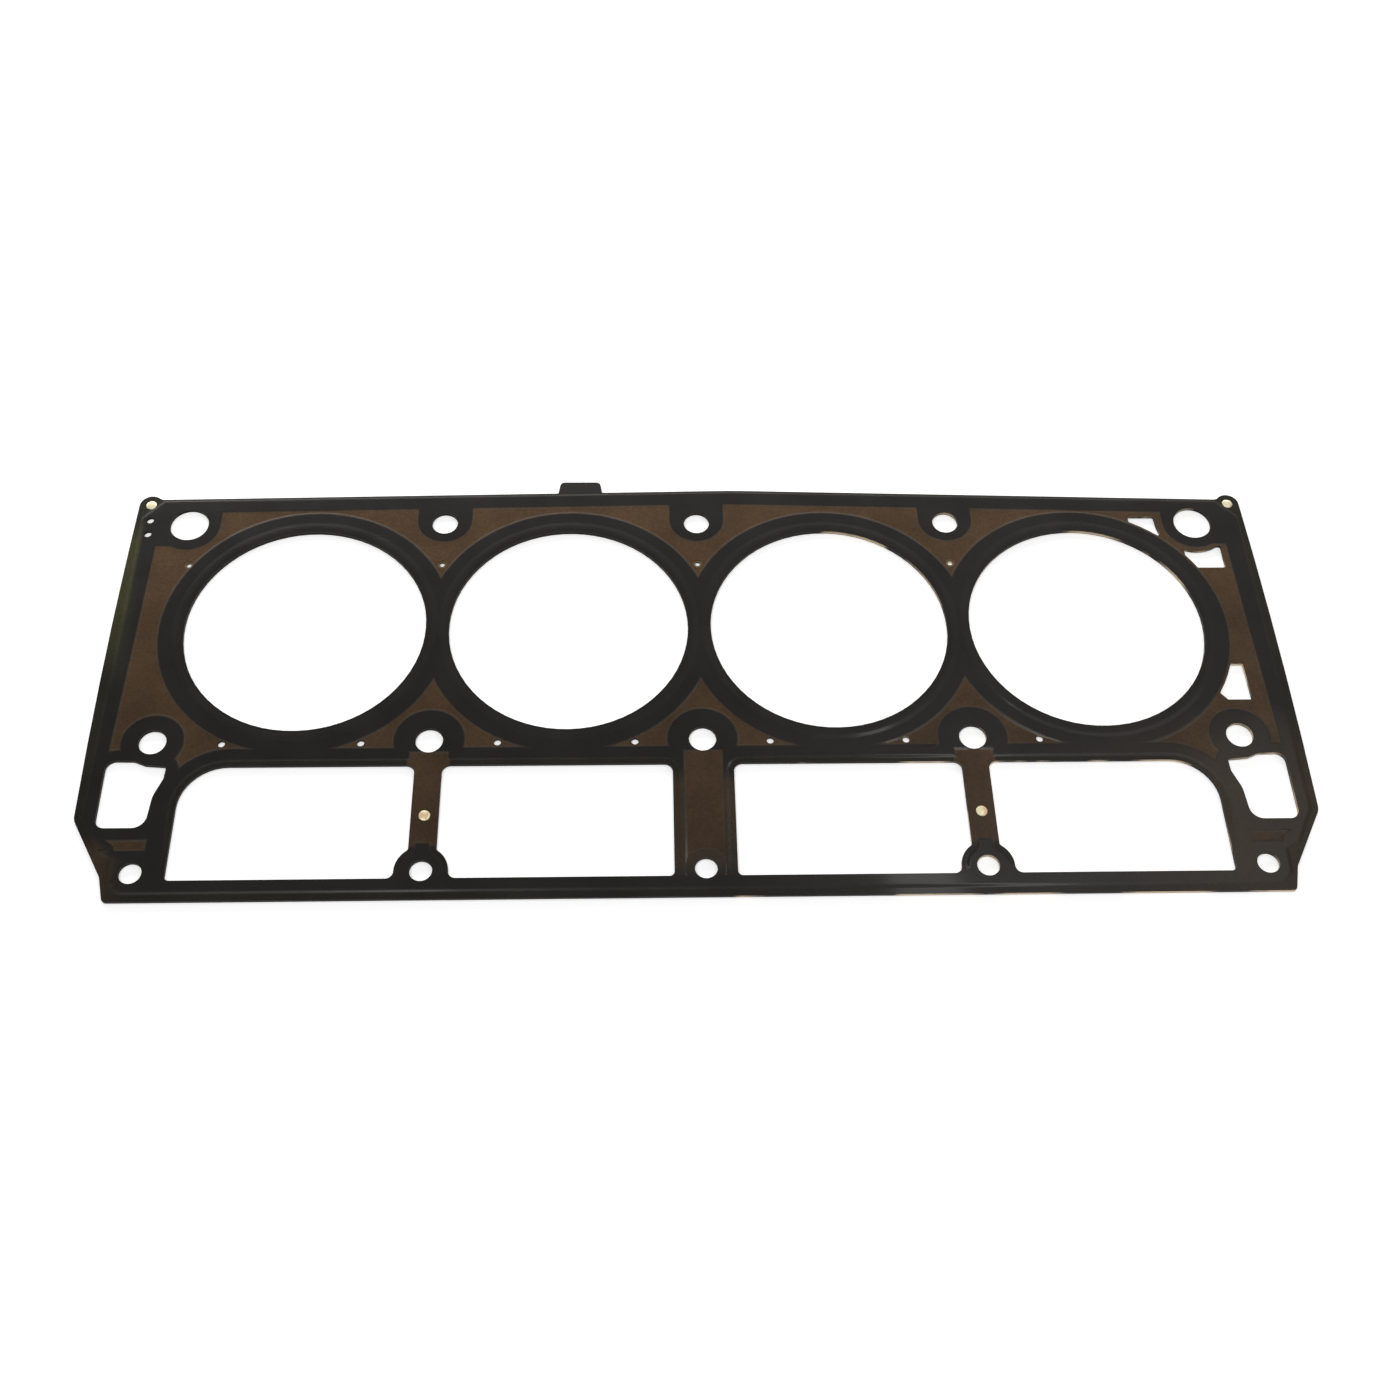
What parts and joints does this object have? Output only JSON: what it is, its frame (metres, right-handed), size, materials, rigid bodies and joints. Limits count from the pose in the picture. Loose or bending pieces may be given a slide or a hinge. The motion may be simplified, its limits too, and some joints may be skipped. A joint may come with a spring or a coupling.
{
  "type": "cylinder head gasket",
  "caption": "Multi-layer steel cylinder head gasket: two embossed coated sheets either side of a flat spacer, riveted, open at the bores, bolts, coolant passages and pushrods.",
  "frame": {"origin": "on the middle line of the row of bores, between the second and third bores, in the middle plane of the spacer layer", "axes": "+X along the row of bores, +Y towards the edge with the tab, +Z out of the upper active layer"},
  "size_m": [0.499, 0.2063, 0.002],
  "materials": {
    "coated_sheet": "spring steel sheet with a thin rubber coating, brown on the flats and black on the lands",
    "spacer_steel": "bare cold-rolled steel, darkened on its faces",
    "rivet_steel": "bright plated steel with a faint yellow tint"
  },
  "bodies": {
    "root": {"upper_active_layer": "coated_sheet", "lower_active_layer": "coated_sheet", "spacer_layer": "spacer_steel", "ear_rivet_left": "rivet_steel", "ear_rivet_right": "rivet_steel", "web_rivet_left": "rivet_steel", "web_rivet_right": "rivet_steel"}
  },
  "joints": []
}
